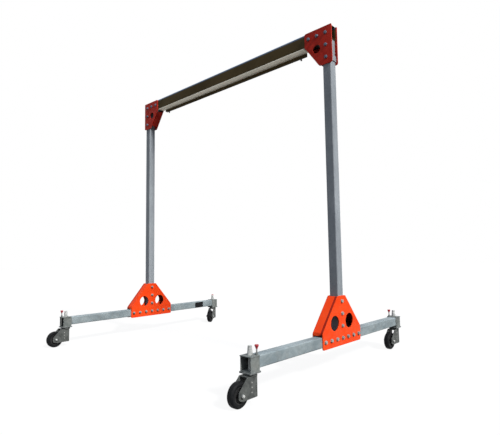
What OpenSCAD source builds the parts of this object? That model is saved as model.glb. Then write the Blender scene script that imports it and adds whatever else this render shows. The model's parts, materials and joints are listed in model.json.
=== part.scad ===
// Portable gantry crane: a hollow beam on two posts, each post standing on a base beam with two swivel casters.
// Millimetres, +Z up, X along the top beam, Y along the base beams, floor at z = 0.
// The origin is the middle of the whole outline on the floor, so the portal stands mid_y behind it:
// the front wheels trail forward and reach further out than the rear ones.

/* [Portal] */
// Distance between the two post centres
span = 2700; // [2000:10:3200]
// Height of the top beam's upper face above the floor
beam_top = 2896; // [2300:2:3300]
// Depth of the top beam
beam_h = 120; // [100:5:150]
// Wall of the top beam
beam_wall = 5; // [4:0.5:8]
// How far the top beam runs past the post centres
beam_over = 46; // [42:1:56]
// Thickness of the running strip under the beam
strip_t = 10; // [6:1:14]

/* [Tubes] */
// Size of the square tube of posts and base beams
tube = 80; // [72:1:90]
// Wall of the square tube
tube_wall = 4; // [3:0.5:6]
// Outer corner radius of the hollow sections
tube_r = 8; // [7:0.5:12]

/* [Cable rail] */
// Distance of the rail's ends from the corner brackets
rail_gap = 52; // [10:1:300]
// Depth of the cable rail
rail_h = 34; // [28:1:40]
// How far the rail hangs below the running strip
rail_drop = 22; // [14:1:26]
// Width of the cable rail
rail_w = 26; // [22:1:36]
// Wall of the cable rail
rail_wall = 3; // [2:0.5:4]
// Slot along the bottom of the rail
rail_slot = 10; // [6:1:12]
// Distance of each stop pin from the end of the rail
stop_inset = 60; // [30:5:120]
// How far a stop pin hangs below the rail
stop_l = 20; // [10:1:40]

/* [Bolts] */
// Diameter of the bracket bolts
bolt_d = 16; // [12:1:20]
// Pitch of the bolt row along the base beam
row_pitch = 84; // [76:1:92]
// Height of the lowest post bolt above the base beam
post_bolt_z = 56; // [40:1:60]
// Pitch of the bolts up the post
post_pitch = 98; // [90:1:106]
// Depth of the uppermost corner bolts below the beam's top
corner_bolt_z = 60; // [50:1:70]
// Pitch of the corner bolts down the post
corner_pitch = 109; // [100:1:118]
// Pitch of the corner bolts along the beam
beam_pitch = 88; // [80:1:94]

/* [Foot brackets] */
// Thickness of the bracket plates
plate_t = 8; // [6:1:10]
// Half width of a foot bracket at its bottom
foot_half = 287; // [250:1:340]
// Half width of a foot bracket at its top
foot_top_half = 56; // [50:1:80]
// How far a foot bracket reaches below the base beam
foot_drop = 17; // [8:1:20]
// Height of the upright side of a foot bracket
foot_side = 121; // [105:1:150]
// Height of a foot bracket above the base beam
foot_rise = 296; // [250:1:360]
// Diameter of the two round holes
foot_hole_d = 120; // [60:1:124]
// Distance of the round holes from the post centre
foot_hole_y = 110; // [105:1:118]
// Height of the round holes above the base beam's centre line
foot_hole_z = 126; // [118:1:132]
// Gap between the inner pan's flange and the outer plate
pan_gap = 11; // [6:1:30]

/* [Corner brackets] */
// How far a corner bracket reaches outside the post centre
corner_out = 60; // [52:1:70]
// How far a corner bracket reaches along the beam
corner_in = 218; // [200:1:260]
// Height of a corner bracket
corner_h = 338; // [300:1:400]
// Height of the upright inner edge, from the top
corner_edge = 128; // [120:1:150]
// Width of the foot of the bracket inside the post centre
corner_foot = 69; // [60:1:90]
// Diameter of the round hole
corner_hole_d = 76; // [40:1:84]
// Distance of the round hole from the post centre
corner_hole_x = 94; // [88:1:98]
// Depth of the round hole below the beam's top
corner_hole_z = 178; // [172:1:186]
// Height of the tie bar between the plates
tie_h = 50; // [30:1:60]
// Thickness of the tie bar
tie_t = 6; // [4:1:10]

/* [Casters] */
// Distance between the kingpins of one base beam
kingpin_gap = 2104; // [1700:4:2600]
// Diameter of the wheels
wheel_d = 160; // [150:1:166]
// Width of the tyres
wheel_w = 50; // [40:1:54]
// Diameter of the wheel hub under the tyre
hub_d = 104; // [90:1:116]
// Distance of the wheel's axle behind the kingpin
trail = 112; // [104:1:124]
// Turn of the rear left caster, away from the other three
rear_left_turn = 30; // [0:5:90]
// Side length of the square caster plate
caster_plate = 105; // [100:1:120]
// Thickness of the caster plate
caster_plate_t = 8; // [6:1:10]
// Thickness of the fork's plates
fork_t = 6; // [5:0.5:8]
// Gap between the tyre and the crown of the fork
crown_gap = 15; // [8:1:20]
// Diameter of the swivel head
head_d = 92; // [80:1:98]
// Height of the swivel head
head_h = 10; // [9:0.5:14]
// Height of the upper race, which is fixed to the caster plate
race_h = 4; // [3:0.5:5]
// Diameter of the kingpin's shank
kingpin_d = 24; // [20:1:28]
// Diameter of the wheel axle
axle_d = 16; // [12:1:20]

/* [Caster housings] */
// Length of a caster housing along the base beam
housing_l = 84; // [80:1:100]
// Wall of a caster housing
housing_wall = 6; // [4:1:8]
// How far a housing reaches below the base beam
housing_drop = 16; // [10:1:24]
// How far a housing reaches above the base beam
housing_rise = 4; // [2:1:8]
// How far the housing's top plate stands out past its walls
housing_lip = 3; // [1:0.5:5]
// Height of the kingpin's tapered stub above the housing
stub_h = 60; // [50:1:80]
// Diameter of the stub at its foot
stub_d = 38; // [34:1:44]
// Diameter of the stub at its top
stub_top_d = 26; // [22:1:32]
// Diameter of the cross hole in the stub
stub_hole_d = 10; // [6:1:12]
// Depth of the cross hole below the stub's top
stub_hole_z = 17; // [12:1:24]
// Turn of the cross hole away from the span
stub_turn = 60; // [50:5:70]

/* [Index plungers] */
// Distance of a plunger from the kingpin across the base beam
plunger_x = 33; // [31:1:34]
// Distance of a plunger from the kingpin along the base beam
plunger_y = 29; // [26:1:30]
// Diameter of the plunger's pin
plunger_d = 10; // [8:1:12]
// Diameter of the knob
knob_d = 28; // [20:1:30]
// Height of the knob's underside above the housing
knob_z = 39; // [28:1:50]

/* [Hidden] */
$fn = 64;
run_fit = 0.05;
turn_gap = 0.5;
wheel_r = wheel_d / 2;
post_x = span / 2;
half_tube = tube / 2;
kingpin_y = kingpin_gap / 2;
front_reach = kingpin_y + trail + wheel_r;
rear_reach = kingpin_y + caster_plate / 2;
mid_y = (front_reach - rear_reach) / 2;
crown_z = wheel_d + crown_gap;
head_z = crown_z + fork_t + 1;
plate_z = head_z + head_h;
housing_z = plate_z + caster_plate_t;
base_bottom = housing_z + housing_drop;
base_z = base_bottom + half_tube;
base_top = base_bottom + tube;
housing_top = base_top + housing_rise;
beam_bottom = beam_top - beam_h;
strip_bottom = beam_bottom - strip_t;
leg_in = wheel_w / 2 + 7;
hub_half = leg_in - 5;
leg_out = leg_in + fork_t;
lead = 25;
back = 62;
boss_r = 32;
bolt_hole_d = bolt_d + 1;
strip_gap = 5;
tie_lift = 24;
rail_l = span - 2 * corner_in - 2 * rail_gap;
plate_r = 10;
guide_d = plunger_d + 8;
guide_h = 14;

galvanised = "LightSteelBlue";
orange_paint = "OrangeRed";
red_paint = "FireBrick";
beam_paint = "DarkOliveGreen";
fork_steel = "DimGray";
bright_steel = "Silver";

// Right side as drawn, left side mirrored, both set back so that the outline is centred on the origin
module on_side(right) {
    translate([0, mid_y, 0])
        mirror([right ? 0 : 1, 0, 0])
            children();
}

// The place of one kingpin
module at_kingpin(right, front) {
    translate([right ? post_x : -post_x, mid_y + (front ? -kingpin_y : kingpin_y), 0])
        children();
}

// One caster's own frame: kingpin at the origin, trail towards the front
module at_caster(right, front) {
    at_kingpin(right, front)
        rotate([0, 0, right || front ? 0 : rear_left_turn])
            children();
}

// Place of a plunger beside its kingpin, on the corner of the housing where it is seen
function plunger_corner(right, front) =
    [right && front ? plunger_x : -plunger_x, right == front ? plunger_y : -plunger_y];

// Points of an outline whose corners [x, y, r] are rounded by arcs of radius r
function unit(v) = v / norm(v);
function corner_arc(a, v, b, r, n = 6) =
    r <= 0 ? [[v.x, v.y]] :
    let (p = [v.x, v.y], u = unit([a.x, a.y] - p), w = unit([b.x, b.y] - p),
         half = acos(u * w) / 2, c = p + unit(u + w) * r / sin(half), d = r / tan(half),
         s = p + u * d - c, e = p + w * d - c,
         a0 = atan2(s.y, s.x), raw = atan2(e.y, e.x) - a0,
         sweep = raw > 180 ? raw - 360 : raw < -180 ? raw + 360 : raw)
    [for (i = [0 : n]) c + r * [cos(a0 + sweep * i / n), sin(a0 + sweep * i / n)]];
function rounded(pts) =
    let (m = len(pts))
    [for (i = [0 : m - 1]) each corner_arc(pts[(i + m - 1) % m], pts[i], pts[(i + 1) % m], pts[i].z)];

// Strip of thickness t on the left of the line from a to b
function strip(a, b, t) =
    let (d = unit(b - a), n = [-d.y, d.x] * t)
    [a, b, b + n, a + n];

// Outline in Y and Z, thick along X from x0 to x1
module slab_x(x0, x1, pts) {
    translate([x0, 0, 0])
        rotate([90, 0, 90])
            linear_extrude(x1 - x0)
                polygon(pts);
}

// Outline in X and Z, thick along Y from y0 to y1
module slab_y(y0, y1, pts) {
    translate([0, y1, 0])
        rotate([90, 0, 0])
            linear_extrude(y1 - y0)
                polygon(pts);
}

// Rectangle about its middle, with corners of radius r
module round_rect(w, h, r) {
    square([w, h - 2 * r], center = true);
    square([w - 2 * r, h], center = true);
    for (x = [-1, 1], y = [-1, 1])
        translate([x * (w / 2 - r), y * (h / 2 - r)])
            circle(r);
}

// Hollow section along Z from z0 to z1, about the Z axis
module tube_z(w, h, wall, z0, z1) {
    translate([0, 0, z0])
        linear_extrude(z1 - z0)
            difference() {
                round_rect(w, h, tube_r);
                round_rect(w - 2 * wall, h - 2 * wall, max(tube_r - wall, 1));
            }
}

// Bolt holes of a foot bracket, along X on the right side: a row along the base beam, a column up the post
module foot_bolt_holes() {
    for (i = [-3 : 3])
        translate([0, i * row_pitch, base_z])
            rotate([0, 90, 0])
                cylinder(d = bolt_hole_d, h = span);
    for (i = [0 : 2])
        translate([0, 0, base_top + post_bolt_z + i * post_pitch])
            rotate([0, 90, 0])
                cylinder(d = bolt_hole_d, h = span);
}

// Bolt holes of a corner bracket, along Y on the right side: three down the post, two more along the beam
module corner_bolt_holes() {
    for (i = [0 : 2])
        translate([post_x, -tube, beam_top - corner_bolt_z - i * corner_pitch])
            rotate([-90, 0, 0])
                cylinder(d = bolt_hole_d, h = 2 * tube);
    for (i = [1, 2])
        translate([post_x - i * beam_pitch, -tube, beam_top - corner_bolt_z])
            rotate([-90, 0, 0])
                cylinder(d = bolt_hole_d, h = 2 * tube);
}

// Top beam with its strip and rail
module top_beam() {
    color(beam_paint)
        difference() {
            translate([0, mid_y, (beam_top + beam_bottom) / 2])
                rotate([90, 0, 90])
                    tube_z(tube, beam_h, beam_wall, -post_x - beam_over, post_x + beam_over);
            for (right = [true, false])
                on_side(right)
                    corner_bolt_holes();
        }
}

module running_strip() {
    strip_l = span - tube - 2 * strip_gap;
    color(galvanised)
        translate([-strip_l / 2, mid_y - half_tube, strip_bottom])
            cube([strip_l, tube, strip_t]);
}

module cable_rail() {
    color(galvanised)
        translate([-rail_l / 2, mid_y + half_tube, strip_bottom - rail_drop])
            difference() {
                cube([rail_l, rail_w, rail_h]);
                translate([-1, rail_wall, rail_wall])
                    cube([rail_l + 2, rail_w - 2 * rail_wall, rail_h - 2 * rail_wall]);
                translate([-1, (rail_w - rail_slot) / 2, -1])
                    cube([rail_l + 2, rail_slot, rail_wall + 2]);
            }
}

module rail_stops() {
    stop_d = rail_slot - 2;
    color(bright_steel)
        for (end = [-1, 1])
            translate([end * (rail_l / 2 - stop_inset), mid_y + half_tube + rail_w / 2,
                       strip_bottom - rail_drop]) {
                translate([0, 0, -stop_l])
                    cylinder(d = stop_d + 8, h = stop_l);
                translate([0, 0, -1])
                    cylinder(d = stop_d, h = rail_wall + 8);
            }
}

// Posts and base beams
module post(right) {
    color(galvanised)
        on_side(right)
            difference() {
                translate([post_x, 0, 0])
                    tube_z(tube, tube, tube_wall, base_top, beam_bottom);
                foot_bolt_holes();
                corner_bolt_holes();
            }
}

module base_beam(right) {
    beam_end = kingpin_y - housing_l / 2;
    color(galvanised)
        on_side(right)
            difference() {
                translate([post_x, 0, base_z])
                    rotate([90, 0, 0])
                        tube_z(tube, tube, tube_wall, -beam_end, beam_end);
                foot_bolt_holes();
            }
}

// Foot bracket outlines, in Y and Z
foot_low = base_bottom - foot_drop;
foot_mid = foot_low + foot_side;
foot_high = base_top + foot_rise;
foot_outline = rounded([
    [-foot_half, foot_low, 12], [foot_half, foot_low, 12], [foot_half, foot_mid, 26],
    [foot_top_half, foot_high, 14], [-foot_top_half, foot_high, 14], [-foot_half, foot_mid, 26]
]);

module foot_holes() {
    for (side = [-1, 1])
        translate([0, side * foot_hole_y, base_z + foot_hole_z])
            rotate([0, 90, 0])
                cylinder(d = foot_hole_d, h = span, center = false);
}

module foot_outer_plate(right) {
    x0 = post_x + half_tube;
    color(orange_paint)
        on_side(right)
            difference() {
                slab_x(x0, x0 + plate_t, foot_outline);
                foot_holes();
                foot_bolt_holes();
            }
}

module foot_inner_pan(right) {
    x0 = post_x - half_tube - plate_t;
    flange_x = post_x + half_tube - pan_gap;
    low = [foot_half, foot_mid - 15];
    bend = [foot_half - 6, foot_mid + 9];
    high = [foot_top_half + 4, foot_high - 4];
    color(orange_paint)
        on_side(right) {
            difference() {
                slab_x(x0, x0 + plate_t, foot_outline);
                foot_holes();
                foot_bolt_holes();
            }
            for (side = [0, 1])
                mirror([0, side, 0])
                    slab_x(x0 + plate_t / 2, flange_x, [
                        low, bend, high, high - [plate_t * 1.3, 0],
                        bend - [plate_t * 1.2, plate_t * 0.4], low - [plate_t, 0]
                    ]);
        }
}

// Corner bracket outline, in X and Z, on the right side
corner_low = beam_top - corner_h;
corner_knee = beam_top - corner_edge;
corner_outline = rounded([
    [post_x + corner_out, corner_low, 16], [post_x + corner_out, beam_top, 6],
    [post_x - corner_in, beam_top, 16], [post_x - corner_in, corner_knee, 22],
    [post_x - corner_foot, corner_low, 24]
]);

module corner_plate(y0) {
    difference() {
        slab_y(y0, y0 + plate_t, corner_outline);
        translate([post_x - corner_hole_x, y0 - 1, beam_top - corner_hole_z])
            rotate([-90, 0, 0])
                cylinder(d = corner_hole_d, h = plate_t + 2);
        corner_bolt_holes();
    }
}

module corner_front_plate(right) {
    color(red_paint)
        on_side(right)
            corner_plate(-half_tube - plate_t);
}

module corner_rear_pan(right) {
    knee = [post_x - corner_in, corner_knee];
    foot = [post_x - corner_foot, corner_low];
    along = foot - knee;
    color(red_paint)
        on_side(right) {
            corner_plate(half_tube);
            slab_y(-half_tube + pan_gap, half_tube + plate_t / 2,
                   strip(knee + along * 0.09, knee + along * 0.86, plate_t));
        }
}

module tie_bar(right) {
    color(galvanised)
        on_side(right)
            translate([post_x + half_tube, -half_tube, corner_low + tie_lift])
                cube([tie_t, tube, tie_h]);
}

// Caster housings: open at the outer end, closed where the base beam meets them, with a guide for the plunger
module caster_housings(right) {
    w = tube + 2 * housing_wall;
    h = housing_top - housing_z;
    color(galvanised)
        for (front = [true, false])
            at_kingpin(right, front)
                difference() {
                    union() {
                        mirror([0, front ? 0 : 1, 0])
                            housing_box(w, h);
                        translate(plunger_corner(right, front))
                            translate([0, 0, housing_top - housing_wall])
                                cylinder(d = guide_d, h = guide_h + housing_wall);
                    }
                    translate([0, 0, housing_z - 1])
                        cylinder(d = kingpin_d, h = h + 2);
                    translate(plunger_corner(right, front))
                        translate([0, 0, housing_top - housing_wall - 1])
                            cylinder(d = plunger_d + 2 * run_fit, h = guide_h + housing_wall + 2);
                }
}

module housing_box(w, h) {
    difference() {
        union() {
            translate([-w / 2, -housing_l / 2, housing_z])
                cube([w, housing_l, h]);
            translate([-w / 2 - housing_lip, -housing_l / 2 - housing_lip, housing_top - housing_wall])
                cube([w + 2 * housing_lip, housing_l + housing_lip, housing_wall]);
        }
        translate([-tube / 2, -housing_l / 2 - 1, housing_z + housing_wall])
            cube([tube, housing_l - housing_wall + 1, h - 2 * housing_wall]);
    }
}

module caster_plates(right) {
    color(bright_steel)
        for (front = [true, false])
            at_kingpin(right, front)
                translate([0, 0, plate_z])
                    difference() {
                        union() {
                            linear_extrude(caster_plate_t)
                                round_rect(caster_plate, caster_plate, plate_r);
                            translate([0, 0, -race_h])
                                cylinder(d1 = head_d - 8, d2 = head_d, h = race_h + 1);
                        }
                        translate([0, 0, -race_h - 1])
                            cylinder(d = kingpin_d, h = race_h + caster_plate_t + 2);
                    }
}

// Kingpins: shank through housing and plate, tapered stub on top, collar under the fork's crown
module kingpins(right) {
    collar_h = 9;
    color(bright_steel)
        for (front = [true, false])
            at_kingpin(right, front)
                difference() {
                    union() {
                        translate([0, 0, crown_z - turn_gap - collar_h])
                            cylinder(d = kingpin_d + 12, h = collar_h);
                        translate([0, 0, crown_z - turn_gap - 1])
                            cylinder(d = kingpin_d, h = housing_top - crown_z + turn_gap + 2);
                        translate([0, 0, housing_top])
                            cylinder(d1 = stub_d, d2 = stub_top_d, h = stub_h);
                    }
                    translate([0, 0, housing_top + stub_h - stub_hole_z])
                        rotate([0, 90, right ? stub_turn : -stub_turn])
                            cylinder(d = stub_hole_d, h = stub_d + 2, center = true);
                }
}

// Fork outline in Y and Z: upright leading edge, slanted trailing edge, round boss at the axle
fork_outline = rounded([
    [lead, crown_z + fork_t, 0], [lead, wheel_r * 0.58, 5],
    [-trail * 0.42, wheel_r * 0.58, 6], [-trail + 6, wheel_r - boss_r - 4, 24],
    [-trail - boss_r, wheel_r - boss_r * 0.7, 22], [-trail - boss_r * 0.86, wheel_r + boss_r * 0.7, 22],
    [-back, crown_z + fork_t, 0]
]);

module fork(right, front) {
    color(fork_steel)
        at_caster(right, front)
            difference() {
                union() {
                    for (side = [-1, 1])
                        slab_x(side > 0 ? leg_in : -leg_out, side > 0 ? leg_out : -leg_in, fork_outline);
                    translate([-leg_out, -back, crown_z])
                        cube([2 * leg_out, back + lead, fork_t]);
                    translate([0, 0, crown_z])
                        cylinder(d = head_d, h = fork_t);
                    translate([0, 0, crown_z + fork_t - 1])
                        cylinder(d1 = head_d, d2 = head_d - 8, h = plate_z - race_h - turn_gap - crown_z - fork_t + 1);
                }
                translate([0, 0, crown_z - 1])
                    cylinder(d = kingpin_d + 2 * run_fit, h = head_h + fork_t + 4);
                translate([0, -trail, wheel_r])
                    rotate([0, 90, 0])
                        cylinder(d = axle_d, h = 2 * leg_out + 2, center = true);
            }
}

module axle(right, front) {
    color(bright_steel)
        at_caster(right, front)
            translate([0, -trail, wheel_r])
                rotate([0, 90, 0]) {
                    cylinder(d = axle_d, h = 2 * leg_out + 2, center = true);
                    for (side = [-1, 1])
                        translate([0, 0, side * (leg_out + 4)])
                            cylinder(d = axle_d + 10, h = 8, center = true);
                }
}

module hub(right, front) {
    color("Gray")
        at_caster(right, front)
            translate([0, -trail, wheel_r])
                rotate([0, 90, 0])
                    rotate_extrude()
                        polygon([
                            [axle_d / 2 + run_fit, -hub_half], [axle_d / 2 + 12, -hub_half],
                            [axle_d / 2 + 14, -12], [hub_d / 2 - 8, -12], [hub_d / 2 - 6, 4 - wheel_w / 2],
                            [hub_d / 2, 4 - wheel_w / 2], [hub_d / 2, wheel_w / 2 - 4],
                            [hub_d / 2 - 6, wheel_w / 2 - 4], [hub_d / 2 - 8, 12], [axle_d / 2 + 14, 12],
                            [axle_d / 2 + 12, hub_half], [axle_d / 2 + run_fit, hub_half]
                        ]);
}

module tyre(right, front) {
    tread = wheel_w / 2;
    color([0.1, 0.1, 0.1])
        at_caster(right, front)
            translate([0, -trail, wheel_r])
                rotate([0, 90, 0])
                    rotate_extrude()
                        polygon(rounded([
                            [hub_d / 2, -tread + 4, 0], [wheel_r - 12, -tread, 4], [wheel_r, -tread + 9, 7],
                            [wheel_r, tread - 9, 7], [wheel_r - 12, tread, 4], [hub_d / 2, tread - 4, 0]
                        ]));
}

// Index plungers: one beside each kingpin, a sprung pin with a knob
module plunger(right, front) {
    pin_low = housing_z + housing_wall + 10;
    color("Crimson")
        at_kingpin(right, front)
            translate(plunger_corner(right, front)) {
                translate([0, 0, pin_low])
                    cylinder(d = plunger_d, h = housing_top + knob_z + 4 - pin_low);
                translate([0, 0, housing_top + knob_z])
                    rotate_extrude()
                        polygon([
                            [0, 0], [knob_d * 0.22, 0], [knob_d * 0.27, 6], [knob_d * 0.5, 19],
                            [knob_d * 0.5, 24], [knob_d * 0.42, 27], [0, 28]
                        ]);
            }
}

top_beam();
running_strip();
cable_rail();
rail_stops();
post(true);  // right_post
post(false);  // left_post
base_beam(true);  // right_base_beam
base_beam(false);  // left_base_beam
foot_outer_plate(true);  // right_foot_outer_plate
foot_outer_plate(false);  // left_foot_outer_plate
foot_inner_pan(true);  // right_foot_inner_pan
foot_inner_pan(false);  // left_foot_inner_pan
corner_front_plate(true);  // right_corner_front_plate
corner_front_plate(false);  // left_corner_front_plate
corner_rear_pan(true);  // right_corner_rear_pan
corner_rear_pan(false);  // left_corner_rear_pan
tie_bar(true);  // right_tie_bar
tie_bar(false);  // left_tie_bar
caster_housings(true);  // right_caster_housings
caster_housings(false);  // left_caster_housings
caster_plates(true);  // right_caster_plates
caster_plates(false);  // left_caster_plates
kingpins(true);  // right_kingpins
kingpins(false);  // left_kingpins
fork(true, true);  // front_right_fork
fork(true, false);  // rear_right_fork
fork(false, true);  // front_left_fork
fork(false, false);  // rear_left_fork
axle(true, true);  // front_right_axle
axle(true, false);  // rear_right_axle
axle(false, true);  // front_left_axle
axle(false, false);  // rear_left_axle
hub(true, true);  // front_right_hub
hub(true, false);  // rear_right_hub
hub(false, true);  // front_left_hub
hub(false, false);  // rear_left_hub
tyre(true, true);  // front_right_tyre
tyre(true, false);  // rear_right_tyre
tyre(false, true);  // front_left_tyre
tyre(false, false);  // rear_left_tyre
plunger(true, true);  // front_right_plunger
plunger(true, false);  // rear_right_plunger
plunger(false, true);  // front_left_plunger
plunger(false, false);  // rear_left_plunger
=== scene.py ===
import json
import math

import bmesh
import bpy
from mathutils import Matrix, Vector


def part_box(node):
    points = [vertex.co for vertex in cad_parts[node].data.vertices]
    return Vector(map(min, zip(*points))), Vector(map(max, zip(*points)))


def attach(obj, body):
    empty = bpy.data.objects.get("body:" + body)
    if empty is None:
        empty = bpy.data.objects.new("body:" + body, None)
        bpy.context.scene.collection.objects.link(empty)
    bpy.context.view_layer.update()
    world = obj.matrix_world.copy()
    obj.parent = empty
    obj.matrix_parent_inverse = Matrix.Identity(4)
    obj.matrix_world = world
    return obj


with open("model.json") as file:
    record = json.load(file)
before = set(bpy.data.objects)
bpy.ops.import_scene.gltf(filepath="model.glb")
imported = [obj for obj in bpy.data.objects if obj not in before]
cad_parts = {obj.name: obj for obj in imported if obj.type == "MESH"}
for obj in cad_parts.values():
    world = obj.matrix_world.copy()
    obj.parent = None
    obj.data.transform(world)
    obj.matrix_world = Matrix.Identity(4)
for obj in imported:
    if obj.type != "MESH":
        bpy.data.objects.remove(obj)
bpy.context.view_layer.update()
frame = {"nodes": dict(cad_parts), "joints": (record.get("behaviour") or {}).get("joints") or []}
nodes = frame["nodes"]

casterNames = ["front_right", "rear_right", "front_left", "rear_left"]
sides = {"right": 1, "left": -1}

# places read from the solids, so that the small parts follow the frame
postLow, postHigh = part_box("right_post")
baseLow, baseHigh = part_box("right_base_beam")
postX, midY = (postLow.x + postHigh.x) / 2, (postLow.y + postHigh.y) / 2
baseZ, baseTop = (baseLow.z + baseHigh.z) / 2, baseHigh.z
beamLow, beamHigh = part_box("top_beam")
beamTop, beamHalf = beamHigh.z, (beamHigh.y - beamLow.y) / 2
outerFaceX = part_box("right_foot_outer_plate")[1].x
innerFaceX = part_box("right_foot_inner_pan")[0].x
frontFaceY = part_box("right_corner_front_plate")[0].y
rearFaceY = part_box("right_corner_rear_pan")[1].y


def tint(r, g, b):
    # screen values 0 to 255 to the linear colour that a shader wants
    screen = (c / 255 for c in (r, g, b))
    return tuple(c / 12.92 if c < 0.0404 else ((c + 0.055) / 1.055) ** 2.4 for c in screen) + (1.0,)


# camera, as in the photo

cameraSet = {"at": (3.248, -2.99925, 0.945), "yaw": -42.98, "pitch": 4.87, "roll": -0.83, "lens": 30.51}


def makeCamera(s):
    yaw, pitch, roll = (math.radians(s[k]) for k in ("yaw", "pitch", "roll"))
    ahead = Vector((math.sin(yaw) * math.cos(pitch), math.cos(yaw) * math.cos(pitch), math.sin(pitch)))
    right = Vector((math.cos(yaw), -math.sin(yaw), 0))
    up = right.cross(ahead)
    rolledRight = right * math.cos(roll) + up * math.sin(roll)
    rolledUp = up * math.cos(roll) - right * math.sin(roll)
    data = bpy.data.cameras.new("photoCamera")
    data.sensor_width, data.lens = 36, s["lens"]
    data.clip_end = 200
    cam = bpy.data.objects.new("photoCamera", data)
    turn = Matrix((rolledRight, rolledUp, -ahead)).transposed()
    cam.matrix_world = Matrix.Translation(s["at"]) @ turn.to_4x4()
    bpy.context.scene.collection.objects.link(cam)
    bpy.context.scene.camera = cam


makeCamera(cameraSet)
print("camera placed")


# node helpers

def feed(tree, socket, value):
    if isinstance(value, bpy.types.NodeSocket):
        tree.links.new(value, socket)
    else:
        socket.default_value = value


def calc(tree, kind, a, b=0.0, clamp=False):
    n = tree.nodes.new("ShaderNodeMath")
    n.operation, n.use_clamp = kind, clamp
    feed(tree, n.inputs[0], a)
    feed(tree, n.inputs[1], b)
    return n.outputs[0]


def band(tree, value, low, high, start=0.0, end=1.0):
    # smooth step from start to end while value runs from low to high
    n = tree.nodes.new("ShaderNodeMapRange")
    n.interpolation_type = "SMOOTHSTEP"
    for i, v in enumerate((value, low, high, start, end)):
        feed(tree, n.inputs[i], v)
    return n.outputs[0]


def blendColour(tree, factor, a, b):
    n = tree.nodes.new("ShaderNodeMix")
    n.data_type = "RGBA"
    feed(tree, n.inputs[0], factor)
    feed(tree, n.inputs[6], a)
    feed(tree, n.inputs[7], b)
    return n.outputs[2]


def objectPlace(tree, scale=(1, 1, 1)):
    coords = tree.nodes.new("ShaderNodeTexCoord")
    mapping = tree.nodes.new("ShaderNodeMapping")
    mapping.inputs["Scale"].default_value = scale
    tree.links.new(coords.outputs["Object"], mapping.inputs["Vector"])
    return mapping.outputs["Vector"]


def splitPlace(tree):
    split = tree.nodes.new("ShaderNodeSeparateXYZ")
    tree.links.new(objectPlace(tree), split.inputs[0])
    return split.outputs


def cloud(tree, place, scale, detail, rough=0.55):
    n = tree.nodes.new("ShaderNodeTexNoise")
    feed(tree, n.inputs["Vector"], place)
    feed(tree, n.inputs["Scale"], scale)
    n.inputs["Detail"].default_value, n.inputs["Roughness"].default_value = detail, rough
    return n.outputs[0]


def newGroup(name, inputs, outputs):
    tree = bpy.data.node_groups.new(name, "ShaderNodeTree")
    for label, kind, value in inputs:
        s = tree.interface.new_socket(name=label, in_out="INPUT", socket_type=kind)
        s.default_value = value
    for label, kind in outputs:
        tree.interface.new_socket(name=label, in_out="OUTPUT", socket_type=kind)
    return tree, tree.nodes.new("NodeGroupInput").outputs, tree.nodes.new("NodeGroupOutput").inputs


def useGroup(tree, group, **values):
    n = tree.nodes.new("ShaderNodeGroup")
    n.node_tree = group
    for label, value in values.items():
        feed(tree, n.inputs[label], value)
    return n.outputs


# shared effects

def makeEdgeRub():
    # rounded edge normal, and a broken mask along the edges
    tree, given, put = newGroup(
        "edgeRub",
        [("Radius", "NodeSocketFloat", 0.002), ("Breakup", "NodeSocketFloat", 60.0),
         ("Reach", "NodeSocketFloat", 0.25)],
        [("Mask", "NodeSocketFloat"), ("Normal", "NodeSocketVector")])
    bevel = tree.nodes.new("ShaderNodeBevel")
    bevel.samples = 4
    tree.links.new(given["Radius"], bevel.inputs["Radius"])
    geometry = tree.nodes.new("ShaderNodeNewGeometry")
    dot = tree.nodes.new("ShaderNodeVectorMath")
    dot.operation = "DOT_PRODUCT"
    tree.links.new(bevel.outputs["Normal"], dot.inputs[0])
    tree.links.new(geometry.outputs["Normal"], dot.inputs[1])
    turned = calc(tree, "SUBTRACT", 1.0, dot.outputs["Value"])
    edge = band(tree, turned, 0.01, given["Reach"])
    patch = cloud(tree, objectPlace(tree), given["Breakup"], 4.0, 0.6)
    tree.links.new(calc(tree, "MULTIPLY", edge, band(tree, patch, 0.35, 0.65), True), put["Mask"])
    tree.links.new(bevel.outputs["Normal"], put["Normal"])
    return tree


def makeSpangle():
    # zinc crystals and the cloudy patches over them
    tree, given, put = newGroup(
        "zincSpangle",
        [("Crystals", "NodeSocketFloat", 90.0), ("Clouds", "NodeSocketFloat", 7.0),
         ("Streak", "NodeSocketVector", (1, 1, 1))],
        [("Crystal", "NodeSocketFloat"), ("Cloud", "NodeSocketFloat")])
    coords = tree.nodes.new("ShaderNodeTexCoord")
    cells = tree.nodes.new("ShaderNodeTexVoronoi")
    tree.links.new(coords.outputs["Object"], cells.inputs["Vector"])
    tree.links.new(given["Crystals"], cells.inputs["Scale"])
    grey = tree.nodes.new("ShaderNodeRGBToBW")
    tree.links.new(cells.outputs["Color"], grey.inputs[0])
    tree.links.new(grey.outputs[0], put["Crystal"])
    stretched = tree.nodes.new("ShaderNodeVectorMath")
    stretched.operation = "MULTIPLY"
    tree.links.new(coords.outputs["Object"], stretched.inputs[0])
    tree.links.new(given["Streak"], stretched.inputs[1])
    patches = cloud(tree, stretched.outputs[0], given["Clouds"], 5.0, 0.62)
    tree.links.new(band(tree, patches, 0.3, 0.7), put["Cloud"])
    return tree


def makePaintSkin():
    # slow mottling of a sprayed coat, and its orange peel
    tree, given, put = newGroup(
        "paintSkin",
        [("Mottle", "NodeSocketFloat", 9.0), ("Peel", "NodeSocketFloat", 420.0)],
        [("Shade", "NodeSocketFloat"), ("Height", "NodeSocketFloat")])
    place = objectPlace(tree)
    tree.links.new(band(tree, cloud(tree, place, given["Mottle"], 5.0, 0.6), 0.3, 0.7), put["Shade"])
    tree.links.new(cloud(tree, place, given["Peel"], 1.0), put["Height"])
    return tree


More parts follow.
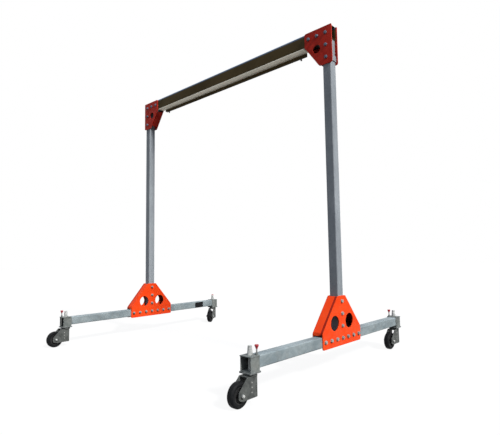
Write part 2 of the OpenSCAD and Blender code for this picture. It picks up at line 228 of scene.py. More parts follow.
def makeFloorDust():
    # dust that thins out with height above the floor
    tree, given, put = newGroup(
        "floorDust",
        [("Top", "NodeSocketFloat", 0.45), ("Patch", "NodeSocketFloat", 22.0),
         ("Amount", "NodeSocketFloat", 0.5)],
        [("Mask", "NodeSocketFloat")])
    coords = tree.nodes.new("ShaderNodeTexCoord")
    split = tree.nodes.new("ShaderNodeSeparateXYZ")
    tree.links.new(coords.outputs["Object"], split.inputs[0])
    low = band(tree, split.outputs["Z"], 0.0, given["Top"], 1.0, 0.0)
    patch = band(tree, cloud(tree, coords.outputs["Object"], given["Patch"], 6.0, 0.65), 0.38, 0.75)
    settled = calc(tree, "MULTIPLY", low, patch)
    tree.links.new(calc(tree, "MULTIPLY", settled, given["Amount"], True), put["Mask"])
    return tree


edgeRub = makeEdgeRub()
zincSpangle = makeSpangle()
paintSkin = makePaintSkin()
floorDust = makeFloorDust()


# materials

def newMaterial(name, **plain):
    mat = bpy.data.materials.new(name)
    mat.use_nodes = True
    tree = mat.node_tree
    shader = tree.nodes["Principled BSDF"]
    for label, value in plain.items():
        shader.inputs[label.replace("_", " ")].default_value = value
    return mat, tree, shader.inputs


def bumpOver(tree, normal, height, strength, distance):
    n = tree.nodes.new("ShaderNodeBump")
    n.inputs["Strength"].default_value, n.inputs["Distance"].default_value = strength, distance
    feed(tree, n.inputs["Height"], height)
    feed(tree, n.inputs["Normal"], normal)
    return n.outputs[0]


# painted shade for the strip's ends inside the corner brackets
stripShade = {"from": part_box("right_corner_front_plate")[0].x, "fade": 0.03, "colour": tint(44, 40, 36)}


def shadedEnds(tree, base):
    # painted shade on the strip where the corner brackets cover it
    s = stripShade
    outwards = calc(tree, "ABSOLUTE", splitPlace(tree)["X"])
    return blendColour(tree, band(tree, outwards, s["from"] - s["fade"], s["from"]), base, s["colour"])


def galvanised(name, dark, light, crystals, clouds, streak, dust=0.35, metal=0.0, shine=0.06, paintedLight=None):
    mat, tree, put = newMaterial(name, Metallic=metal, Specular_IOR_Level=shine)
    zinc = useGroup(tree, zincSpangle, Crystals=crystals, Clouds=clouds, Streak=streak)
    rub = useGroup(tree, edgeRub, Radius=0.003, Breakup=45.0, Reach=0.3)
    grime = useGroup(tree, floorDust, Top=0.55, Patch=18.0, Amount=dust)
    fine = calc(tree, "MULTIPLY", zinc["Crystal"], 0.3)
    mix = calc(tree, "ADD", fine, calc(tree, "MULTIPLY", zinc["Cloud"], 0.7))
    base = blendColour(tree, mix, dark, light)
    base = blendColour(tree, calc(tree, "MULTIPLY", rub["Mask"], 0.45), base, tint(205, 210, 212))
    base = blendColour(tree, grime["Mask"], base, tint(120, 114, 102))
    # paintedLight adds painted shade to the colour
    if paintedLight:
        base = paintedLight(tree, base)
    feed(tree, put["Base Color"], base)
    feed(tree, put["Roughness"], band(tree, zinc["Crystal"], 0.0, 1.0, 0.42, 0.6))
    feed(tree, put["Normal"], bumpOver(tree, rub["Normal"], zinc["Crystal"], 0.12, 0.0006))
    return mat


# painted sky reflection along the beam's upper edges
beamSkySheen = {
    "top": beamTop, "half": beamHalf, "fall": (0.024, 0.004), "inward": (0.012, 0.003),
    "colour": tint(132, 156, 188),
}


def skySheenEdges(tree, base):
    # painted sky reflection: bluish upper edges of the beam
    at, s = splitPlace(tree), beamSkySheen
    rise = band(tree, at["Z"], *(s["top"] - d for d in s["fall"]))
    aside = calc(tree, "ABSOLUTE", calc(tree, "SUBTRACT", at["Y"], midY))
    edge = calc(tree, "MULTIPLY", rise, band(tree, aside, *(s["half"] - d for d in s["inward"])))
    return blendColour(tree, edge, base, s["colour"])


# painted shadow and shade on the foot pans
panPaintedShade = {
    "edge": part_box("right_foot_inner_pan")[1].x, "wide": 0.007, "colour": tint(150, 30, 12),
    "foot": baseTop + 0.012, "footHigh": 0.016, "footFrom": 0.045, "footColour": tint(44, 16, 12),
    "innerColour": tint(112, 14, 8),
}


def shadedFlanges(tree, base):
    at, s = splitPlace(tree), panPaintedShade
    # painted shadow of the outer plate along the flange's edge
    outwards = calc(tree, "ABSOLUTE", at["X"])
    near = band(tree, outwards, s["edge"] - s["wide"], s["edge"] - s["wide"] * 0.6)
    base = blendColour(tree, near, base, s["colour"])
    # the flange's end above the base beam, in the plate's shade
    outer = band(tree, outwards, s["edge"] - s["footFrom"], s["edge"])
    end = band(tree, at["Z"], s["foot"], s["foot"] + s["footHigh"], 1.0, 0.0)
    base = blendColour(tree, calc(tree, "MULTIPLY", outer, end), base, s["footColour"])
    # painted shade on the inner sides, which face into the pan
    geometry = tree.nodes.new("ShaderNodeNewGeometry")
    facing = tree.nodes.new("ShaderNodeSeparateXYZ")
    tree.links.new(geometry.outputs["Normal"], facing.inputs[0])
    toPlate = calc(tree, "MULTIPLY", calc(tree, "SIGN", at["X"]), facing.outputs["X"])
    aside = calc(tree, "SIGN", calc(tree, "SUBTRACT", at["Y"], midY))
    fromPost = calc(tree, "MULTIPLY", aside, facing.outputs["Y"])
    backed = band(tree, fromPost, -0.4, -0.1, 1.0, 0.0)
    inside = calc(tree, "MAXIMUM", band(tree, toPlate, 0.3, 0.7), backed)
    return blendColour(tree, inside, base, s["innerColour"])


def painted(name, colour, deep, worn, mottle, dust, wear=0.5, rough=0.42, shine=0.1, paintedLight=None):
    mat, tree, put = newMaterial(name, Specular_IOR_Level=shine)
    skin = useGroup(tree, paintSkin, Mottle=mottle, Peel=420.0)
    rub = useGroup(tree, edgeRub, Radius=0.0025, Breakup=70.0, Reach=0.3)
    grime = useGroup(tree, floorDust, Top=0.6, Patch=26.0, Amount=dust)
    base = blendColour(tree, skin["Shade"], deep, colour)
    base = blendColour(tree, calc(tree, "MULTIPLY", rub["Mask"], wear), base, worn)
    base = blendColour(tree, grime["Mask"], base, tint(150, 120, 95))
    # paintedLight adds painted shade or a painted sky reflection to the colour
    if paintedLight:
        base = paintedLight(tree, base)
    feed(tree, put["Base Color"], base)
    feed(tree, put["Roughness"], band(tree, skin["Shade"], 0.0, 1.0, rough + 0.1, rough))
    feed(tree, put["Normal"], bumpOver(tree, rub["Normal"], skin["Height"], 0.08, 0.0005))
    return mat


def brightZinc(name, dark, light, metal, rough):
    mat, tree, put = newMaterial(name, Metallic=metal, Specular_IOR_Level=0.15)
    zinc = useGroup(tree, zincSpangle, Crystals=260.0, Clouds=38.0)
    rub = useGroup(tree, edgeRub, Radius=0.0012, Breakup=150.0, Reach=0.35)
    base = blendColour(tree, zinc["Cloud"], dark, light)
    base = blendColour(tree, calc(tree, "MULTIPLY", rub["Mask"], 0.5), base, tint(225, 225, 222))
    feed(tree, put["Base Color"], base)
    feed(tree, put["Roughness"], band(tree, zinc["Cloud"], 0.0, 1.0, rough + 0.16, rough))
    feed(tree, put["Normal"], rub["Normal"])
    return mat


def pressedSteel(name):
    # dull plate of the forks, with rolling lines and handling marks
    mat, tree, put = newMaterial(name, Metallic=0.0, Specular_IOR_Level=0.1)
    rub = useGroup(tree, edgeRub, Radius=0.003, Breakup=90.0, Reach=0.3)
    lines = cloud(tree, objectPlace(tree, (30, 30, 420)), 1.0, 4.0)
    blot = cloud(tree, objectPlace(tree), 24.0, 5.0, 0.62)
    grime = useGroup(tree, floorDust, Top=0.22, Patch=40.0, Amount=0.2)
    base = blendColour(tree, band(tree, blot, 0.3, 0.7), tint(66, 69, 68), tint(98, 101, 99))
    base = blendColour(tree, calc(tree, "MULTIPLY", rub["Mask"], 0.6), base, tint(150, 152, 149))
    base = blendColour(tree, grime["Mask"], base, tint(104, 100, 92))
    feed(tree, put["Base Color"], base)
    feed(tree, put["Roughness"], band(tree, lines, 0.2, 0.8, 0.4, 0.62))
    feed(tree, put["Normal"], bumpOver(tree, rub["Normal"], lines, 0.1, 0.0004))
    return mat


def solidRubber(name):
    mat, tree, put = newMaterial(name, Specular_IOR_Level=0.08)
    place = objectPlace(tree)
    scuff = band(tree, cloud(tree, place, 34.0, 6.0, 0.7), 0.42, 0.78)
    grain = cloud(tree, place, 900.0, 2.0)
    rub = useGroup(tree, edgeRub, Radius=0.004, Breakup=55.0, Reach=0.35)
    base = blendColour(tree, calc(tree, "MULTIPLY", scuff, 0.55), tint(19, 20, 22), tint(50, 51, 51))
    base = blendColour(tree, calc(tree, "MULTIPLY", rub["Mask"], 0.5), base, tint(66, 67, 66))
    feed(tree, put["Base Color"], base)
    feed(tree, put["Roughness"], band(tree, scuff, 0.0, 1.0, 0.55, 0.85))
    feed(tree, put["Normal"], bumpOver(tree, rub["Normal"], grain, 0.25, 0.0008))
    return mat


def mouldedCore(name):
    mat, tree, put = newMaterial(name, Specular_IOR_Level=0.12)
    place = objectPlace(tree)
    flow = band(tree, cloud(tree, place, 48.0, 4.0, 0.6), 0.3, 0.7)
    rub = useGroup(tree, edgeRub, Radius=0.002, Breakup=120.0, Reach=0.35)
    base = blendColour(tree, flow, tint(34, 34, 35), tint(50, 50, 50))
    base = blendColour(tree, calc(tree, "MULTIPLY", rub["Mask"], 0.4), base, tint(96, 96, 94))
    feed(tree, put["Base Color"], base)
    feed(tree, put["Roughness"], band(tree, flow, 0.0, 1.0, 0.42, 0.56))
    feed(tree, put["Normal"], bumpOver(tree, rub["Normal"], cloud(tree, place, 700.0, 2.0), 0.12, 0.0004))
    return mat


def knobAndPin(name, knobFoot):
    # red moulding above knobFoot, steel pin below it
    mat, tree, put = newMaterial(name)
    coords = tree.nodes.new("ShaderNodeTexCoord")
    split = tree.nodes.new("ShaderNodeSeparateXYZ")
    tree.links.new(coords.outputs["Object"], split.inputs[0])
    knob = calc(tree, "GREATER_THAN", split.outputs["Z"], knobFoot)
    flow = band(tree, cloud(tree, coords.outputs["Object"], 160.0, 4.0, 0.6), 0.3, 0.7)
    rub = useGroup(tree, edgeRub, Radius=0.0015, Breakup=200.0, Reach=0.35)
    red = blendColour(tree, flow, tint(150, 22, 36), tint(182, 34, 48))
    red = blendColour(tree, calc(tree, "MULTIPLY", rub["Mask"], 0.4), red, tint(214, 96, 100))
    steel = blendColour(tree, flow, tint(112, 113, 112), tint(158, 158, 155))
    feed(tree, put["Base Color"], blendColour(tree, knob, steel, red))
    feed(tree, put["Metallic"], calc(tree, "MULTIPLY", calc(tree, "SUBTRACT", 1.0, knob), 0.7))
    feed(tree, put["Roughness"], band(tree, flow, 0.0, 1.0, 0.28, 0.42))
    feed(tree, put["Normal"], rub["Normal"])
    return mat


def barePlateBlack(name):
    mat, tree, put = newMaterial(name, Specular_IOR_Level=0.12)
    place = objectPlace(tree)
    scuff = band(tree, cloud(tree, place, 60.0, 6.0, 0.68), 0.45, 0.8)
    rub = useGroup(tree, edgeRub, Radius=0.0012, Breakup=130.0, Reach=0.35)
    base = blendColour(tree, calc(tree, "MULTIPLY", scuff, 0.4), tint(18, 18, 20), tint(58, 58, 60))
    base = blendColour(tree, calc(tree, "MULTIPLY", rub["Mask"], 0.7), base, tint(120, 120, 118))
    feed(tree, put["Base Color"], base)
    feed(tree, put["Roughness"], band(tree, scuff, 0.0, 1.0, 0.4, 0.6))
    feed(tree, put["Normal"], rub["Normal"])
    return mat


postZinc = galvanised("postZinc", tint(124, 130, 136), tint(162, 168, 173), 70.0, 4.0, (1, 1, 0.35))
baseZinc = galvanised("baseZinc", tint(108, 121, 127), tint(158, 169, 172), 80.0, 9.0, (1, 0.5, 1), 0.45)
stripZinc = galvanised("stripZinc", tint(214, 208, 190), tint(236, 231, 216), 80.0, 5.0, (0.3, 1, 1), 0.0,
                       metal=0.3, shine=0.3, paintedLight=shadedEnds)
housingZinc = galvanised("housingZinc", tint(90, 96, 95), tint(136, 141, 139), 120.0, 16.0, (1, 1, 1), 0.4)
beamPaint = painted("beamPaint", tint(90, 76, 50), tint(72, 61, 39), tint(120, 112, 94), mottle=3.0, dust=0.0,
                    wear=0.35, rough=0.5, shine=0.04, paintedLight=skySheenEdges)
footOrange = (tint(246, 74, 22), tint(238, 66, 18), tint(250, 120, 70))
orangePaint = painted("orangePaint", *footOrange, mottle=8.0, dust=0.25)
panPaint = painted("panPaint", *footOrange, mottle=8.0, dust=0.25, paintedLight=shadedFlanges)
redPaint = painted("redPaint", tint(206, 50, 34), tint(176, 38, 26), tint(226, 110, 92),
                   mottle=14.0, dust=0.0)
boltZinc = brightZinc("boltZinc", tint(128, 129, 126), tint(168, 168, 164), 0.05, 0.46)
# painted shade and sky reflection: a darker, bluer copy of boltZinc for the bolts on the shaded front plates
shadeBoltZinc = brightZinc("shadeBoltZinc", tint(88, 99, 114), tint(120, 130, 146), 0.05, 0.46)
plateZinc = brightZinc("plateZinc", tint(82, 86, 86), tint(124, 128, 127), 0.05, 0.5)
stubZinc = brightZinc("stubZinc", tint(152, 154, 152), tint(204, 205, 202), 0.08, 0.42)
forkSteel = pressedSteel("forkSteel")
tyreRubber = solidRubber("tyreRubber")
wheelCore = mouldedCore("wheelCore")
knobHigh = 0.0282  # moulded part of a plunger
knobRed = knobAndPin("knobRed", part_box("front_right_plunger")[1].z - knobHigh)
plateBlack = barePlateBlack("plateBlack")

finish = {
    "top_beam": beamPaint, "running_strip": stripZinc, "cable_rail": beamPaint, "rail_stops": plateZinc,
    "post": postZinc, "base_beam": baseZinc, "foot_outer_plate": orangePaint, "foot_inner_pan": panPaint,
    "corner_front_plate": redPaint, "corner_rear_pan": redPaint, "tie_bar": postZinc,
    "caster_housings": housingZinc, "caster_plates": plateZinc, "kingpins": stubZinc,
    "fork": forkSteel, "axle": plateZinc, "hub": wheelCore, "tyre": tyreRubber, "plunger": knobRed,
}


def finishOf(node):
    for lead in ("", "right_", "left_", *(c + "_" for c in casterNames)):
        if node.startswith(lead) and node[len(lead):] in finish:
            return finish[node[len(lead):]]


for name, solid in nodes.items():
    if not solid.material_slots:
        solid.data.materials.append(None)
    for s in solid.material_slots:
        s.material = finishOf(name)
print("materials on", len(nodes), "solids")


# geometry node helpers

def newTree(name, inputs):
    tree = bpy.data.node_groups.new(name, "GeometryNodeTree")
    tree.interface.new_socket(name="Geometry", in_out="INPUT", socket_type="NodeSocketGeometry")
    for label, kind, value in inputs:
        s = tree.interface.new_socket(name=label, in_out="INPUT", socket_type=kind)
        if value is not None:
            s.default_value = value
    tree.interface.new_socket(name="Geometry", in_out="OUTPUT", socket_type="NodeSocketGeometry")
    return tree, tree.nodes.new("NodeGroupInput").outputs, tree.nodes.new("NodeGroupOutput").inputs


def shifted(tree, mesh, z):
    place = tree.nodes.new("ShaderNodeCombineXYZ")
    feed(tree, place.inputs["Z"], z)
    move = tree.nodes.new("GeometryNodeTransform")
    tree.links.new(mesh, move.inputs["Geometry"])
    tree.links.new(place.outputs[0], move.inputs["Translation"])
    return move.outputs[0]


def disc(tree, corners, radius, depth, foot):
    # closed prism standing on height foot
    n = tree.nodes.new("GeometryNodeMeshCylinder")
    n.inputs["Vertices"].default_value = corners
    feed(tree, n.inputs["Radius"], radius)
    feed(tree, n.inputs["Depth"], depth)
    return shifted(tree, n.outputs["Mesh"], calc(tree, "ADD", foot, calc(tree, "MULTIPLY", depth, 0.5)))


def taper(tree, corners, low, high, depth, foot):
    n = tree.nodes.new("GeometryNodeMeshCone")
    n.inputs["Vertices"].default_value = corners
    feed(tree, n.inputs["Radius Bottom"], low)
    feed(tree, n.inputs["Radius Top"], high)
    feed(tree, n.inputs["Depth"], depth)
    return shifted(tree, n.outputs["Mesh"], foot)


def joined(tree, meshes):
    n = tree.nodes.new("GeometryNodeJoinGeometry")
    for m in reversed(meshes):
        tree.links.new(m, n.inputs[0])
    return n.outputs[0]


def alongAxis(tree, seed):
    # turn to the point's own axis, with a chance twist about it
    axis = tree.nodes.new("GeometryNodeInputNamedAttribute")
    axis.data_type = "FLOAT_VECTOR"
    axis.inputs["Name"].default_value = "axis"
    align = tree.nodes.new("FunctionNodeAlignRotationToVector")
    align.axis = "Z"
    tree.links.new(axis.outputs[0], align.inputs["Vector"])
    chance = tree.nodes.new("FunctionNodeRandomValue")
    chance.data_type = "FLOAT_VECTOR"
    chance.inputs[1].default_value = (0, 0, math.tau)
    chance.inputs["Seed"].default_value = seed
    twist = tree.nodes.new("FunctionNodeRotateRotation")
    twist.rotation_space = "LOCAL"
    tree.links.new(align.outputs[0], twist.inputs[0])
    tree.links.new(chance.outputs[0], twist.inputs[1])
    return twist.outputs[0]


def onPoints(tree, points, instance, turn, scale=None):
    n = tree.nodes.new("GeometryNodeInstanceOnPoints")
    tree.links.new(points, n.inputs["Points"])
    tree.links.new(instance, n.inputs["Instance"])
    tree.links.new(turn, n.inputs["Rotation"])
    if scale is not None:
        tree.links.new(scale, n.inputs["Scale"])
    return n.outputs[0]


def endTree(tree, mesh, material, put):
    real = tree.nodes.new("GeometryNodeRealizeInstances")
    paint = tree.nodes.new("GeometryNodeSetMaterial")
    tree.links.new(mesh, real.inputs[0])
    tree.links.new(real.outputs[0], paint.inputs["Geometry"])
    tree.links.new(material, paint.inputs["Material"])
    tree.links.new(paint.outputs[0], put[0])


def smoothUpTo(mesh, degrees):
    bm = bmesh.new()
    bm.from_mesh(mesh)
    for f in bm.faces:
        f.smooth = True
    for e in bm.edges:
        e.smooth = len(e.link_faces) == 2 and e.calc_face_angle(0) < math.radians(degrees)
    bm.to_mesh(mesh)
    bm.free()


def runTree(name, tree, body, slotName, points=None, axes=None, paths=None, smooth=35, **values):
    # points with axes, or paths as lists of points, go in; one plain mesh on the body comes out
    mesh = bpy.data.meshes.new(name + "Seed")
    if paths is None:
        mesh.from_pydata([tuple(p) for p in points], [], [])
        attribute = mesh.attributes.new("axis", "FLOAT_VECTOR", "POINT")
        attribute.data.foreach_set("vector", [c for a in axes for c in a])
    else:
        corners, edges = [], []
        for path, closed in paths:
            first = len(corners)
            corners += [tuple(p) for p in path]
            edges += [(i, i + 1) for i in range(first, len(corners) - 1)]
            if closed:
                edges.append((len(corners) - 1, first))
        mesh.from_pydata(corners, edges, [])
    seedObject = bpy.data.objects.new(name + "Seed", mesh)
    bpy.context.scene.collection.objects.link(seedObject)
    modifier = seedObject.modifiers.new(name, "NODES")
    modifier.node_group = tree
    for item in tree.interface.items_tree:
        if item.in_out == "INPUT" and item.name in values:
            modifier[item.identifier] = values[item.name]
    graph = bpy.context.evaluated_depsgraph_get()
    made = bpy.data.meshes.new_from_object(seedObject.evaluated_get(graph))
    seedObject.modifiers.remove(modifier)
    bpy.data.objects.remove(seedObject)
    made.name = name
    smoothUpTo(made, smooth)
    piece = bpy.data.objects.new(name, made)
    bpy.context.scene.collection.objects.link(piece)
    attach(piece, body)
    print(name, len(made.vertices), "points on", body)


# bolts of the brackets

boltSet = {
    "rowPitch": 0.084, "rowHalf": 3, "postFirst": 0.056, "postPitch": 0.098, "cornerDrop": 0.060,
    "cornerPitch": 0.109, "beamPitch": 0.088, "across": 0.024, "head": 0.010, "nut": 0.013,
    "washerAcross": 0.031, "washer": 0.003, "shank": 0.016, "threadEnd": 0.007, "headEnd": 0.0002,
    "sink": 0.004,
}


def makeBoltTree():
    sizes = ["Across", "Head", "Washer Across", "Washer", "Shank", "End", "Reach"]
    inputs = [(s, "NodeSocketFloat", 0.01) for s in sizes] + [("Material", "NodeSocketMaterial", None)]
    tree, given, put = newTree("hexBolt", inputs)
    corner = calc(tree, "MULTIPLY", given["Across"], 0.57735)
    washerTop = given["Washer"]
    straight = calc(tree, "MULTIPLY", given["Head"], 0.78)
    chamfer = calc(tree, "MULTIPLY", given["Head"], 0.22)
    shank = calc(tree, "MULTIPLY", given["Shank"], 0.5)
    chamferFoot = calc(tree, "ADD", washerTop, straight)
    top = calc(tree, "ADD", washerTop, given["Head"])
    parts = [
        disc(tree, 24, calc(tree, "MULTIPLY", given["Washer Across"], 0.5), given["Washer"], 0.0),
        disc(tree, 6, corner, straight, washerTop),
        taper(tree, 6, corner, calc(tree, "MULTIPLY", corner, 0.86), chamfer, chamferFoot),
        disc(tree, 16, shank, given["Reach"], calc(tree, "MULTIPLY", given["Reach"], -1.0)),
        taper(tree, 16, shank, calc(tree, "MULTIPLY", shank, 0.84), given["End"], top),
    ]
    bolts = onPoints(tree, given["Geometry"], joined(tree, parts), alongAxis(tree, 4))
    endTree(tree, bolts, given["Material"], put)
    return tree


def bracketBolts(s, tree):
    heads, headAxes = [], []
    frontHeads, frontAxes = [], []
    nuts, nutAxes = [], []
    for sx in sides.values():
        row = [(midY + i * s["rowPitch"], baseZ) for i in range(-s["rowHalf"], s["rowHalf"] + 1)]
        row += [(midY, baseTop + s["postFirst"] + i * s["postPitch"]) for i in range(3)]
        for y, z in row:
            heads.append((sx * outerFaceX, y, z))
            headAxes.append((sx, 0, 0))
            nuts.append((sx * innerFaceX, y, z))
            nutAxes.append((-sx, 0, 0))
        group = [(postX, beamTop - s["cornerDrop"] - i * s["cornerPitch"]) for i in range(3)]
        group += [(postX - i * s["beamPitch"], beamTop - s["cornerDrop"]) for i in (1, 2)]
        for x, z in group:
            frontHeads.append((sx * x, frontFaceY, z))
            frontAxes.append((0, -1, 0))
            nuts.append((sx * x, rearFaceY, z))
            nutAxes.append((0, 1, 0))
    shared = {
        "Across": s["across"], "Washer Across": s["washerAcross"], "Washer": s["washer"], "Shank": s["shank"],
    }
    # a head's shank runs right through to its nut
    through = {"Head": s["head"], "End": s["headEnd"], "Reach": outerFaceX - innerFaceX - s["sink"]}
    runTree("footBoltHeads", tree, "portal", "zinc", heads, headAxes, Material=boltZinc, **through, **shared)
    runTree("cornerBoltHeads", tree, "portal", "zinc", frontHeads, frontAxes, Material=shadeBoltZinc,
            **through, **shared)
    runTree("boltNuts", tree, "portal", "zinc", nuts, nutAxes, Material=boltZinc,
            Head=s["nut"], End=s["threadEnd"], Reach=s["sink"], **shared)


hexBolt = makeBoltTree()
bracketBolts(boltSet, hexBolt)


# rivets of the forks and nuts on the axles

casterSet = {
    "rivetAcross": 0.011, "rivetRise": 0.0035, "rivetAt": ((0.026, 0.142), (0.026, 0.112), (0.026, 0.082)),
    "legOut": 0.038, "nutFoot": 0.046, "nutAcross": 0.017, "nutHigh": 0.007,
    "washerAcross": 0.021, "washer": 0.001, "axle": 0.012, "threadEnd": 0.003, "sink": 0.004,
}


def makeRivetTree():
    tree, given, put = newTree("domeRivet", [
        ("Across", "NodeSocketFloat", 0.011), ("Rise", "NodeSocketFloat", 0.004),
        ("Material", "NodeSocketMaterial", None)])
    ball = tree.nodes.new("GeometryNodeMeshUVSphere")
    ball.inputs["Segments"].default_value, ball.inputs["Rings"].default_value = 12, 8
    ball.inputs["Radius"].default_value = 0.5
    squash = tree.nodes.new("ShaderNodeCombineXYZ")
    feed(tree, squash.inputs["X"], given["Across"])
    feed(tree, squash.inputs["Y"], given["Across"])
    feed(tree, squash.inputs["Z"], calc(tree, "MULTIPLY", given["Rise"], 2.0))
    size = tree.nodes.new("GeometryNodeTransform")
    tree.links.new(ball.outputs["Mesh"], size.inputs["Geometry"])
    tree.links.new(squash.outputs[0], size.inputs["Scale"])
    rivets = onPoints(tree, given["Geometry"], size.outputs[0], alongAxis(tree, 7))
    endTree(tree, rivets, given["Material"], put)
    return tree


jointAt = {j["name"]: j for j in frame["joints"]}


def casterTrim(s, boltTree, rivetTree):
    for caster in casterNames:
        pin = Vector(jointAt[caster + "_swivel"]["pos_m"])
        hubAt = Vector(jointAt[caster + "_roll"]["pos_m"])
        across = Vector(jointAt[caster + "_roll"]["axis"]).normalized()
        behind = Vector((hubAt.x - pin.x, hubAt.y - pin.y, 0)).normalized()
        points, axes = [], []
        nuts, nutAxes = [], []
        for hand in (1, -1):
            for back, z in s["rivetAt"]:
                points.append(Vector((pin.x, pin.y, z)) + behind * back + across * hand * s["legOut"])
                axes.append(across * hand)
            nuts.append(hubAt + across * hand * s["nutFoot"])
            nutAxes.append(across * hand)
        runTree(caster + "_rivets", rivetTree, caster + "_caster", "zinc", points, axes, smooth=50,
                Across=s["rivetAcross"], Rise=s["rivetRise"], Material=boltZinc)
        runTree(caster + "_axle_nuts", boltTree, caster + "_caster", "zinc", nuts, nutAxes,
                Across=s["nutAcross"], Head=s["nutHigh"], Washer=s["washer"], Shank=s["axle"],
                End=s["threadEnd"], Reach=s["sink"], Material=stubZinc,
                **{"Washer Across": s["washerAcross"]})


casterTrim(casterSet, hexBolt, makeRivetTree())


# weld beads

weldSet = {
    "pitch": 0.0045, "across": 0.008, "seed": 11, "proud": 0.0005, "beamIn": 0.001, "beamCorner": 0.8,
    "wallIn": 0.0025, "housingHalf": 0.038, "housingRise": 0.004, "stubRadius": 0.0195,
}


def makeWeldTree():
    tree, given, put = newTree("weldBead", [
        ("Pitch", "NodeSocketFloat", 0.005), ("Across", "NodeSocketFloat", 0.008),
        ("Seed", "NodeSocketInt", 1), ("Material", "NodeSocketMaterial", None)])
    path = tree.nodes.new("GeometryNodeMeshToCurve")
    tree.links.new(given["Geometry"], path.inputs["Mesh"])
    steps = tree.nodes.new("GeometryNodeResampleCurve")
    steps.mode = "LENGTH"
    tree.links.new(path.outputs[0], steps.inputs["Curve"])
    tree.links.new(given["Pitch"], steps.inputs["Length"])
    ripple = tree.nodes.new("GeometryNodeMeshUVSphere")
    ripple.inputs["Segments"].default_value, ripple.inputs["Rings"].default_value = 8, 5
    feed(tree, ripple.inputs["Radius"], calc(tree, "MULTIPLY", given["Across"], 0.5))
    tangent = tree.nodes.new("GeometryNodeInputTangent")
    align = tree.nodes.new("FunctionNodeAlignRotationToVector")
    align.axis = "Z"
    tree.links.new(tangent.outputs[0], align.inputs["Vector"])
    chance = tree.nodes.new("FunctionNodeRandomValue")
    chance.data_type = "FLOAT_VECTOR"
    chance.inputs[0].default_value, chance.inputs[1].default_value = (0.85, 0.85, 0.5), (1.1, 1.1, 0.7)
    tree.links.new(given["Seed"], chance.inputs["Seed"])
    beads = onPoints(tree, steps.outputs[0], ripple.outputs["Mesh"], align.outputs[0], chance.outputs[0])
    endTree(tree, beads, given["Material"], put)
    return tree


def ring(centre, radius, count=24):
    turns = (math.tau * i / count for i in range(count))
    return [centre + Vector((math.cos(t), math.sin(t), 0)) * radius for t in turns]


def weldPaths(s):
    half, tall = (postHigh.x - postLow.x) / 2 + s["proud"], (baseHigh.z - baseLow.z) / 2 + s["proud"]
    c = s["beamCorner"]
    beamRound = ((-1, -c), (-c, -1), (c, -1), (1, -c), (1, c), (c, 1), (-c, 1), (-1, c))
    paths = []
    for side, sx in sides.items():
        x = sx * postX
        # post on the base beam
        square = ((-1, -1), (1, -1), (1, 1), (-1, 1))
        paths.append(([Vector((x + a * half, midY + b * half, baseTop)) for a, b in square], True))
        low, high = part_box(side + "_base_beam")
        for y, out in ((low.y, -1), (high.y, 1)):
            # base beam on the housing's rear wall
            seam = y - out * s["beamIn"]
            paths.append(([Vector((x + a * half, seam, baseZ + b * tall)) for a, b in beamRound], True))
    for caster in casterNames:
        side = caster.split("_")[1]
        pin = Vector(jointAt[caster + "_swivel"]["pos_m"])
        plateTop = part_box(side + "_caster_plates")[1].z
        low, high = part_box(side + "_caster_housings")
        for hand in (1, -1):
            # housing wall on the caster plate
            wall = pin.x + hand * ((high.x - low.x) / 2 - s["wallIn"])
            ends = (-s["housingHalf"], 0.0, s["housingHalf"])
            paths.append(([Vector((wall, pin.y + t, plateTop)) for t in ends], False))
        # stub on the housing's top
        paths.append((ring(Vector((pin.x, pin.y, baseTop + s["housingRise"])), s["stubRadius"]), True))
    return paths


runTree("weldBeads", makeWeldTree(), "portal", "galvanised", paths=weldPaths(weldSet), smooth=60,
        Pitch=weldSet["pitch"], Across=weldSet["across"], Seed=weldSet["seed"], Material=housingZinc)


# bare plate on the left base beam

plateSet = {
    "from": 0.698, "to": 0.836, "low": 0.222, "high": 0.290, "thick": 0.0016,
    "corner": 0.006, "cornerSteps": 6, "bracketPlate": 0.008,
    "rivetIn": 0.009, "rivet": 0.0032, "rivetFlat": 0.3,
}


def barePlate(s):
    face = -innerFaceX - s["bracketPlate"]  # the base beam's inner face
    bm = bmesh.new()
    outline = []
    y0, y1, z0, z1, r = midY + s["from"], midY + s["to"], s["low"], s["high"], s["corner"]
    centres = ((y1 - r, z1 - r), (y0 + r, z1 - r), (y0 + r, z0 + r), (y1 - r, z0 + r))
    for quarter, (cy, cz) in enumerate(centres):
        for i in range(s["cornerSteps"] + 1):
            t = math.radians(90 * (quarter + i / s["cornerSteps"]))
            outline.append(bm.verts.new((face, cy + r * math.cos(t), cz + r * math.sin(t))))
    lid = bm.faces.new(outline)
    raised = bmesh.ops.extrude_face_region(bm, geom=[lid])
    for v in (g for g in raised["geom"] if isinstance(g, bmesh.types.BMVert)):
        v.co.x += s["thick"]
    for sy in (y0 + s["rivetIn"], y1 - s["rivetIn"]):
        for sz in (z0 + s["rivetIn"], z1 - s["rivetIn"]):
            squash = Matrix.Diagonal((s["rivetFlat"], 1, 1, 1))
            place = Matrix.Translation((face + s["thick"], sy, sz)) @ squash
            bmesh.ops.create_uvsphere(bm, u_segments=10, v_segments=6, radius=s["rivet"], matrix=place)
    bmesh.ops.recalc_face_normals(bm, faces=bm.faces)
    mesh = bpy.data.meshes.new("barePlate")
    bm.to_mesh(mesh)
    bm.free()
    mesh.materials.append(plateBlack)
    smoothUpTo(mesh, 40)
    piece = bpy.data.objects.new("bare_plate", mesh)
    bpy.context.scene.collection.objects.link(piece)
    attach(piece, "portal")
    print("bare plate", len(mesh.vertices), "points")


barePlate(plateSet)


# lips between the foot pans' flanges and the outer plates, shown dark by the pan's painted shadow of the
# plates

lipSet = {"clear": 0.0005, "flat": 0.0002, "merge": 0.0001}


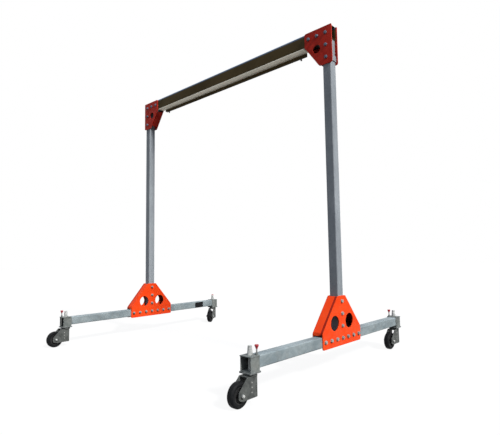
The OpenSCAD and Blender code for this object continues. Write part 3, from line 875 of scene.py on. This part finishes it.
def panLips(s):
    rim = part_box("right_foot_inner_pan")[1].x
    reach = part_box("right_foot_outer_plate")[0].x - s["clear"] - rim
    bm = bmesh.new()
    for side in sides:
        bm.from_mesh(nodes[side + "_foot_inner_pan"].data)
    # only the flanges' edge faces stay, and grow towards the plates
    away = [f for f in bm.faces if any(abs(abs(v.co.x) - rim) > s["flat"] for v in f.verts)]
    bmesh.ops.delete(bm, geom=away, context="FACES")
    bmesh.ops.remove_doubles(bm, verts=bm.verts, dist=s["merge"])
    bmesh.ops.dissolve_faces(bm, faces=bm.faces[:])
    raised = bmesh.ops.extrude_face_region(bm, geom=bm.faces[:])
    for v in (g for g in raised["geom"] if isinstance(g, bmesh.types.BMVert)):
        v.co.x += math.copysign(reach, v.co.x)
    bmesh.ops.recalc_face_normals(bm, faces=bm.faces)
    mesh = bpy.data.meshes.new("panLips")
    bm.to_mesh(mesh)
    bm.free()
    mesh.materials.append(panPaint)
    piece = bpy.data.objects.new("pan_lips", mesh)
    bpy.context.scene.collection.objects.link(piece)
    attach(piece, "portal")
    print("pan lips", len(mesh.vertices), "points")


panLips(lipSet)


# floor, world and light

lightSet = {
    "sunFrom": (0.77, -0.06, 0.63), "sun": 3.85, "sunSize": 8.0, "sunColour": (1.0, 0.985, 0.96),
    "zenith": (0.62, 0.68, 0.78, 1), "horizon": (0.08, 0.09, 0.105, 1),
    "bounce": (0.13, 0.127, 0.12, 1), "pale": (0.93, 0.93, 0.93, 1), "lift": 0.91, "floorSize": 60.0,
}


def seenRay(tree):
    rays = tree.nodes.new("ShaderNodeLightPath").outputs
    seen = calc(tree, "MAXIMUM", rays["Is Camera Ray"], rays["Is Glossy Ray"])
    return calc(tree, "MAXIMUM", seen, rays["Is Transmission Ray"])


def makeFloor(s):
    half = s["floorSize"] / 2
    mesh = bpy.data.meshes.new("floor")
    corners = [(-half, -half, 0), (half, -half, 0), (half, half, 0), (-half, half, 0)]
    mesh.from_pydata(corners, [], [(0, 1, 2, 3)])
    floor = bpy.data.objects.new("floor", mesh)
    bpy.context.scene.collection.objects.link(floor)
    mat = bpy.data.materials.new("paleFloor")
    mat.use_nodes = True
    tree = mat.node_tree
    tree.nodes.remove(tree.nodes["Principled BSDF"])
    seen = seenRay(tree)
    diffuse = tree.nodes.new("ShaderNodeBsdfDiffuse")
    feed(tree, diffuse.inputs["Color"], blendColour(tree, seen, s["bounce"], s["pale"]))
    glow = tree.nodes.new("ShaderNodeEmission")
    mix = tree.nodes.new("ShaderNodeMixShader")
    feed(tree, mix.inputs[0], calc(tree, "MULTIPLY", seen, s["lift"]))
    tree.links.new(diffuse.outputs[0], mix.inputs[1])
    tree.links.new(glow.outputs[0], mix.inputs[2])
    tree.links.new(mix.outputs[0], tree.nodes["Material Output"].inputs[0])
    mesh.materials.append(mat)


def makeWorld(s):
    world = bpy.data.worlds.new("studio")
    bpy.context.scene.world = world
    world.use_nodes = True
    tree = world.node_tree
    plain = tree.nodes["Background"]
    coords = tree.nodes.new("ShaderNodeTexCoord")
    split = tree.nodes.new("ShaderNodeSeparateXYZ")
    tree.links.new(coords.outputs["Generated"], split.inputs[0])
    sky = blendColour(tree, band(tree, split.outputs["Z"], 0.0, 0.9), s["horizon"], s["zenith"])
    feed(tree, plain.inputs["Color"], blendColour(tree, seenRay(tree), sky, (1, 1, 1, 1)))
    plain.inputs["Strength"].default_value = 1.0


def makeSun(s):
    data = bpy.data.lights.new("key", "SUN")
    data.energy, data.angle, data.color = s["sun"], math.radians(s["sunSize"]), s["sunColour"]
    sun = bpy.data.objects.new("key", data)
    sun.rotation_mode = "QUATERNION"
    sun.rotation_quaternion = Vector(s["sunFrom"]).to_track_quat("Z", "Y")
    bpy.context.scene.collection.objects.link(sun)


makeFloor(lightSet)
makeWorld(lightSet)
makeSun(lightSet)
bpy.context.scene.view_settings.view_transform = "Standard"
print("floor, world and light set")
